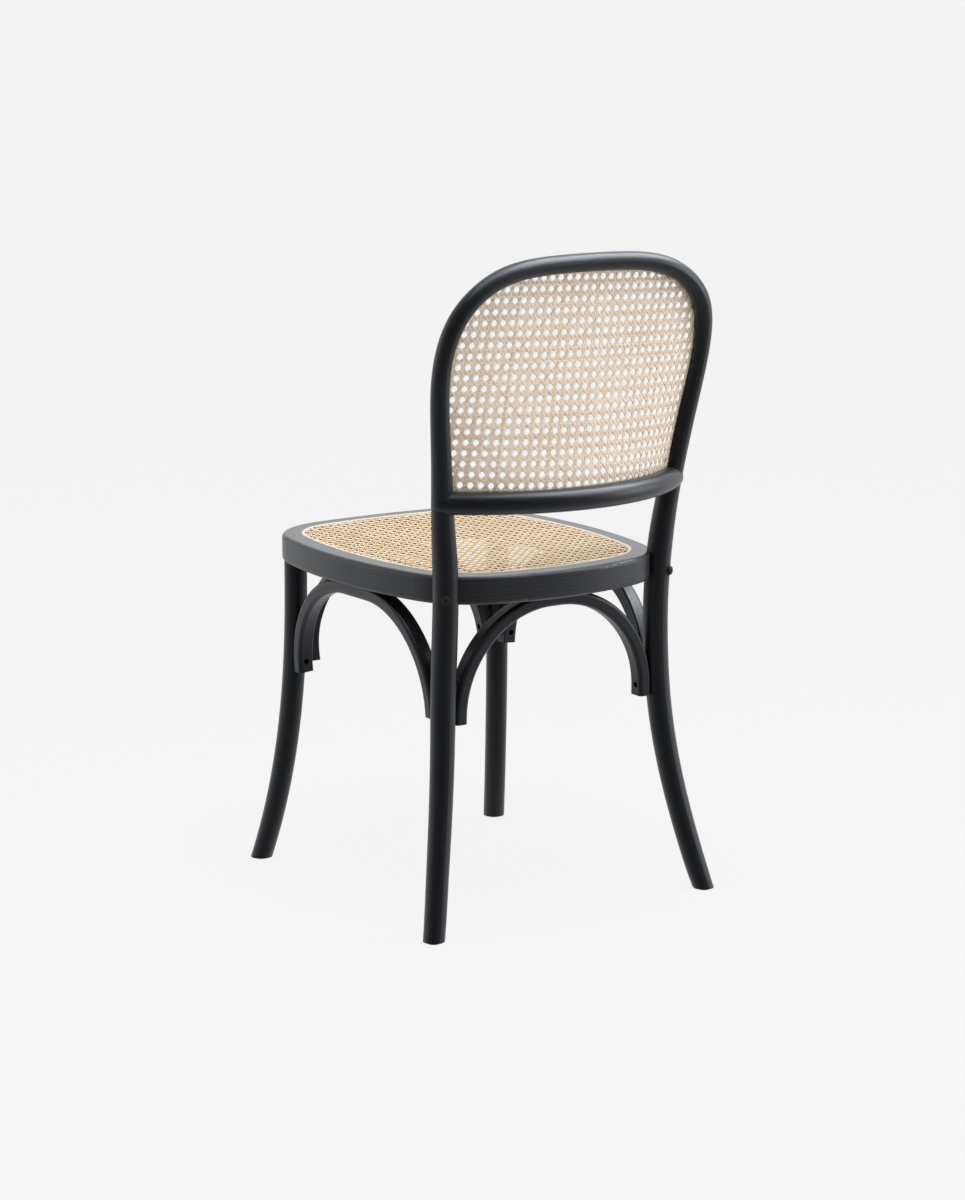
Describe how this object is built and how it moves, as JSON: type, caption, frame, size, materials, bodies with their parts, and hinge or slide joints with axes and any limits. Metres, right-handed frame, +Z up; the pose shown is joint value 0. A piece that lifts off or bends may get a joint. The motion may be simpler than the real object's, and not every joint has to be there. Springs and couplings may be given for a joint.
{
  "type": "dining chair",
  "caption": "Armless bentwood dining chair with a woven cane seat and back; a bent rod forms the rear legs and back hoop, and arched braces tie the splayed legs to a rounded seat ring.",
  "frame": {"origin": "on the floor under the middle of the bounding box", "axes": "+Z up, the sitter faces -Y, +X is the sitter's left"},
  "size_m": [0.4766, 0.56, 0.8945],
  "materials": {
    "black_wood": "satin black stain with open grain",
    "dowel_wood": "bare",
    "cane": "natural woven cane",
    "reed": "natural pale reed",
    "dark_steel": "black oxide",
    "steel": "zinc plated",
    "glide": "matte black"
  },
  "bodies": {
    "root": {"back_hoop": "black_wood", "back_rail": "black_wood", "rail_dowels": "dowel_wood", "back_cane": "cane", "back_reed": "reed", "seat_frame": "black_wood", "seat_cane": "cane", "seat_reed": "reed", "front_leg_left": "black_wood", "front_leg_right": "black_wood", "side_arch_left": "black_wood", "side_arch_right": "black_wood", "rear_arch": "black_wood", "front_arch": "black_wood", "rear_leg_bolts": "dark_steel", "bolt_washers": "dark_steel", "barrel_nuts": "steel", "arch_leg_screws": "dark_steel", "arch_seat_screws": "steel", "glide_rear_left": "glide", "glide_rear_right": "glide", "glide_front_left": "glide", "glide_front_right": "glide"}
  },
  "joints": []
}
